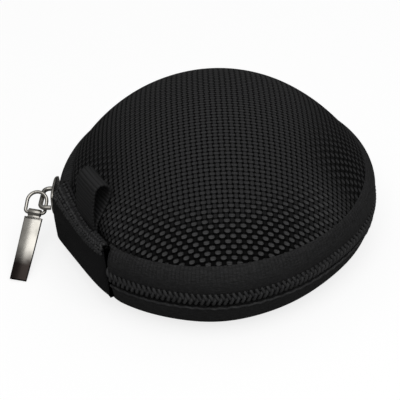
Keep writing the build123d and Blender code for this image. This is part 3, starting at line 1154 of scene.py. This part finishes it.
def domed_plate(name, x_low, x_high, dome):
    """A slider plate: flat towards the zip, edges rounded over, crowned outward."""
    outline = curve_through(plate_corners, 5)[:-1]
    levels = [(0.0, 0.06), (0.0, 0.0), (0.55, 0.0), (0.8, 0.03), (0.93, 0.1), (1.0, 0.25),
              (1.0 + dome, 0.6), (1.0 + dome, 0.95)]
    points = []
    for height, shrink in levels:
        x = x_low + (x_high - x_low) * height
        for y, z in outline:
            points.append(Vector((x, y * (1 - shrink) * mm, z * (1 - shrink) * mm)))
    faces = rows_to_faces(len(levels), len(outline), close_across=True)
    faces += [face[::-1] for face in end_faces(len(levels), len(outline))]
    piece = build(name, points, faces, nickel)
    piece.data.transform(slider_frame())
    return piece


def slider():
    """Cast body: crowned outer plate, inner plate, and the post between the chains."""
    front = domed_plate("slider_front", 41.3 * mm, 42.15 * mm, 0.1)
    rear = domed_plate("slider_rear", 37.0 * mm, 36.0 * mm, 0.0)
    post_path = [Vector((x * mm, 3.9 * mm, 0)) for x in (36.9, 38.4, 40.0, 41.5)]
    points, faces = tube(post_path, 1.3 * mm, 16, squash=0.27)
    post = build("slider_post", points, faces, nickel)
    post.data.transform(slider_frame())
    for piece in (front, rear, post):
        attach(piece, "slider")
    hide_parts("slider_body")
    for node in ("slider_bail", "pull_ring"):
        for slot in frame["nodes"][node].material_slots:
            slot.material = nickel


def pull_axes():
    """Along the pull tab, across it and out of its face, as it hangs at rest."""
    face = Vector((0, math.sin(pull_droop), math.cos(pull_droop)))
    down = Vector((0, math.cos(pull_droop), -math.sin(pull_droop)))
    along = down * math.cos(pull_lean) + Vector((1, 0, 0)) * math.sin(pull_lean)
    across = face.cross(along)
    turned = Matrix.Rotation(slider_angle, 3, "Z")
    return turned @ along, turned @ across, turned @ face


def pull_tab():
    """Flat tab, a little lifted towards its tip. Its end rolled round the ring's bar is made by pull_eye.
    """
    along, across, face = pull_axes()
    outline = [(0.75, 1.6), (1.3, 1.7), (1.9, 2.35), (2.6, 2.4), (tab_length - 0.5, 2.22),
               (tab_length - 0.15, 2.12), (tab_length, 1.85)]
    rows = curve_through(outline, 6)
    section = [(-1.0, 0.0), (-0.97, 0.7), (-0.88, 1.0), (0.88, 1.0), (0.97, 0.7), (1.0, 0.0),
               (0.97, -0.7), (0.88, -1.0), (-0.88, -1.0), (-0.97, -0.7)]
    points = []
    layout = []
    for s, half in rows:
        bend = 0.5 * tab_bend * max(0.0, s - tab_straight) ** 2
        thin = 1.0 if s < tab_length - 0.3 else 0.75
        for w, t in section:
            out = 0.5 * tab_thickness * t * thin + bend
            points.append(tab_eye + along * s * mm + across * half * w * mm + face * out * mm)
            layout.append((half * w * mm, s * mm))
    faces = rows_to_faces(len(rows), len(section), close_across=True)
    faces += [end[::-1] for end in end_faces(len(rows), len(section))]
    tab = build("pull_tab_plate", points, faces, reflection_painted_nickel, layout)
    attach(tab, "tab")
    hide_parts("pull_tab")


def pull_eye():
    """The tab's end, rolled into a barrel round the ring's bar."""
    along, across, face = pull_axes()
    side = [(0.57, 1.55), (0.62, 1.65), (0.88, 1.65), (0.97, 1.56)]
    section = side + [(r, -w) for r, w in side[::-1]]
    sides = 28
    rim = []
    for k in range(sides):
        a = turn * k / sides
        out = along * math.cos(a) + face * math.sin(a)
        for r, w in section:
            rim.append(tab_eye + out * r * mm + across * w * mm)
    faces = rows_to_faces(sides, len(section), close_rows=True, close_across=True)
    barrel = build("pull_tab_eye", rim, faces, nickel)
    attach(barrel, "tab")


# ---------------------------------------------------------------- studio

def pale_floor():
    """A plain pale floor that looks evenly lit to the camera."""
    mesh = bpy.data.meshes.new("floor")
    reach = 3.0
    corners = [(-reach, -reach, 0), (reach, -reach, 0), (reach, reach, 0), (-reach, reach, 0)]
    mesh.from_pydata(corners, [], [(0, 1, 2, 3)])
    floor = new_object("floor", mesh)
    material, n, shader = new_material("Pale floor")
    shader.inputs["Base Color"].default_value = (0.32, 0.32, 0.32, 1)
    shader.inputs["Roughness"].default_value = 0.9
    shader.inputs["Specular IOR Level"].default_value = 0.1
    shader.inputs["Emission Color"].default_value = (1, 1, 1, 1)
    seen = n.add("ShaderNodeLightPath").outputs["Is Camera Ray"]
    n.put(shader.inputs["Emission Strength"], n.math("MULTIPLY", seen, 0.80))
    mesh.materials.append(material)


def white_tent():
    """A white room, brightest overhead."""
    bpy.context.scene.view_settings.view_transform = "Standard"
    world = bpy.data.worlds.new("studio")
    world.use_nodes = True
    bpy.context.scene.world = world
    sky = Nodes(world.node_tree)
    background = world.node_tree.nodes["Background"]
    background.inputs["Color"].default_value = (1, 1, 1, 1)
    up = sky.split(sky.add("ShaderNodeTexCoord").outputs["Generated"])[2]
    tent = sky.ramp(up, 0.2, 0.95, 0.05, 0.4)
    seen = sky.add("ShaderNodeLightPath").outputs["Is Camera Ray"]
    sky.put(background.inputs["Strength"], sky.blend(seen, tent, 0.95))


def softbox():
    """One large soft lamp, over the hinge side."""
    light = bpy.data.lights.new("softbox", "AREA")
    light.shape = "DISK"
    light.size = 0.8
    light.energy = 2.65
    lamp = bpy.data.objects.new("softbox", light)
    bpy.context.scene.collection.objects.link(lamp)
    lamp.location = Vector((-0.33, 0.06, 0.68))
    target = Vector((0, 0, 0.02))
    lamp.rotation_euler = (lamp.location - target).to_track_quat("Z", "Y").to_euler()


def camera():
    """A long lens, looking down on the hinge side and the slider."""
    azimuth = math.radians(242.5)
    elevation = 0.6394
    roll = math.radians(4.08)
    distance = 0.350
    flat = Vector((math.sin(azimuth), -math.cos(azimuth), 0))
    back = flat * math.cos(elevation) + Vector((0, 0, math.sin(elevation)))
    level = Vector((math.cos(azimuth), math.sin(azimuth), 0))
    over = back.cross(level)
    right = level * math.cos(roll) - over * math.sin(roll)
    up = over * math.cos(roll) + level * math.sin(roll)
    lens = bpy.data.cameras.new("camera")
    lens.sensor_width = 36.0
    lens.lens = 122.95
    lens.shift_x = -0.0417
    lens.shift_y = -0.0128
    lens.clip_start = 0.01
    view = bpy.data.objects.new("camera", lens)
    bpy.context.scene.collection.objects.link(view)
    place = Vector((0, 0, chain_z)) + back * distance
    turned = Matrix((right, up, back)).transposed().to_4x4()
    view.matrix_world = Matrix.Translation(place) @ turned
    bpy.context.scene.camera = view


camera()
pale_floor()
white_tent()
softbox()
lid_shells()
base_shells()
zip_tapes()
zip_coils()
hinge_spine()
hinge_stitching()
hinge_inside()
loop_of_ribbon()
bindings()
net_pocket()
pocket_edge()
slider()
pull_tab()
pull_eye()
